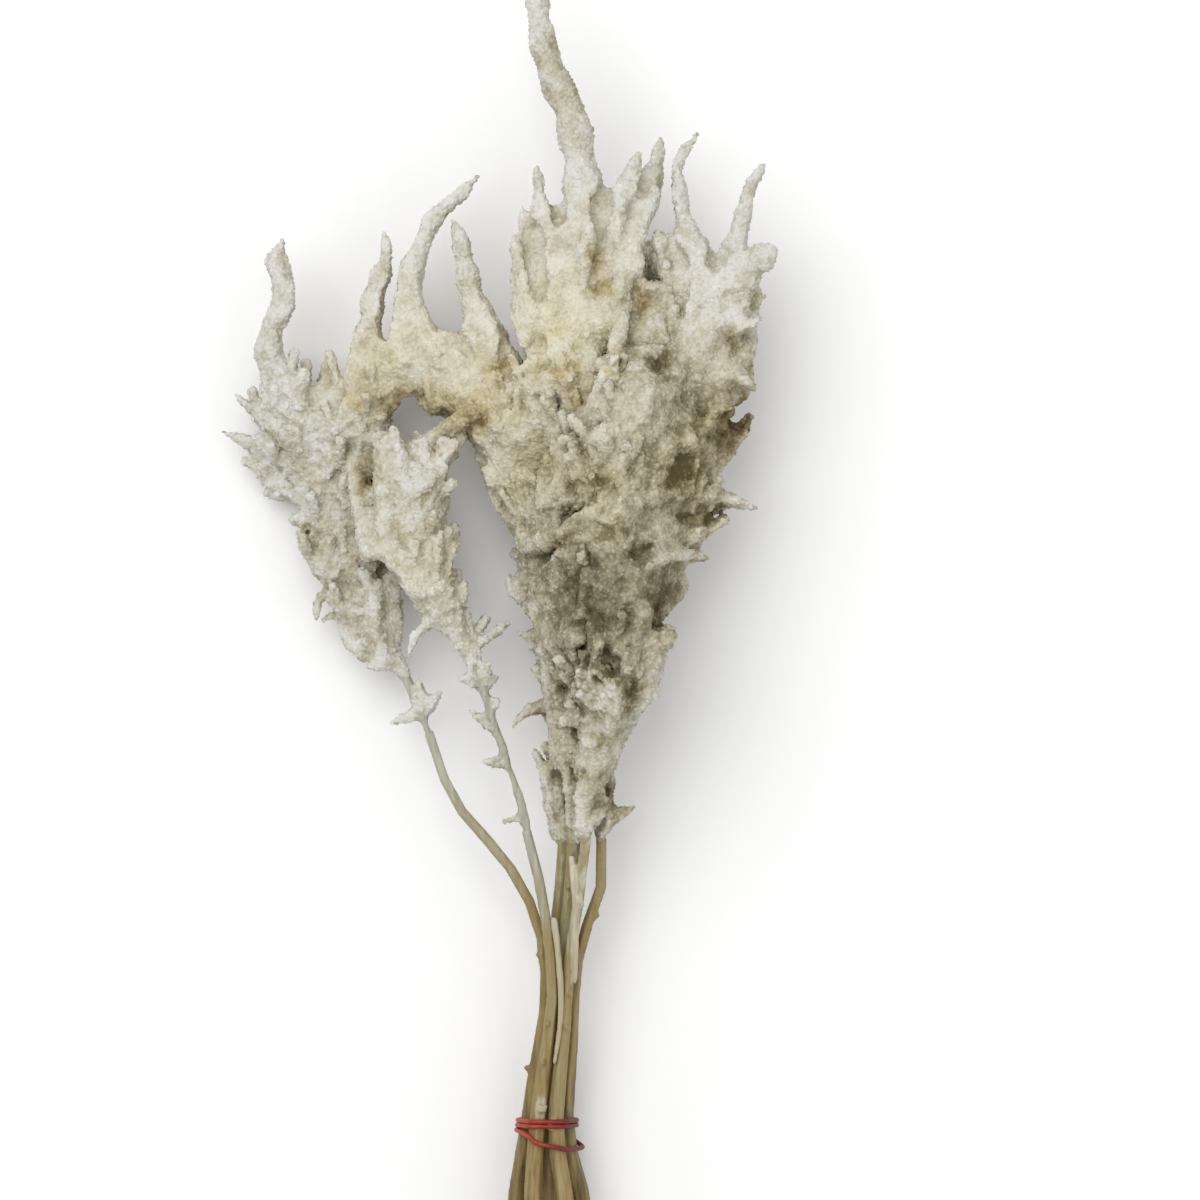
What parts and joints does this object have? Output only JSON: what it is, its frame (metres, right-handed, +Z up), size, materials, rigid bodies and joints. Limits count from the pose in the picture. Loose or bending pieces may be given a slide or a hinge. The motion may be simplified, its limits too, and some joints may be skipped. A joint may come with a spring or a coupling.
{
  "type": "preserved amaranthus bunch",
  "caption": "Bunch of preserved amaranthus that lies on a surface: slim tan stems tied with a red rubber band, fanning into bleached, grainy, cream-white flower spikes.",
  "frame": {"origin": "under the middle of the lying bunch, on the surface that it rests on", "axes": "+Y from the cut stem ends to the tips of the flower spikes, +Z up from the surface, +X to the right seen from above"},
  "size_m": [0.282, 0.7006, 0.1094],
  "materials": {
    "stem": "dried, matt, finely ridged bark",
    "floret": "bleached and preserved florets, matt and grainy",
    "rubber": "smooth, slightly translucent"
  },
  "bodies": {
    "root": {"head_left": "floret", "head_inner_left": "floret", "head_arch": "floret", "head_centre": "floret", "head_right": "floret", "head_front": "floret", "head_back": "floret", "stem_left": "stem", "stem_inner_left": "stem", "stem_arch": "stem", "stem_centre": "stem", "stem_right": "stem", "stem_front": "stem", "stem_back": "stem", "rubber_band": "rubber"}
  },
  "joints": []
}
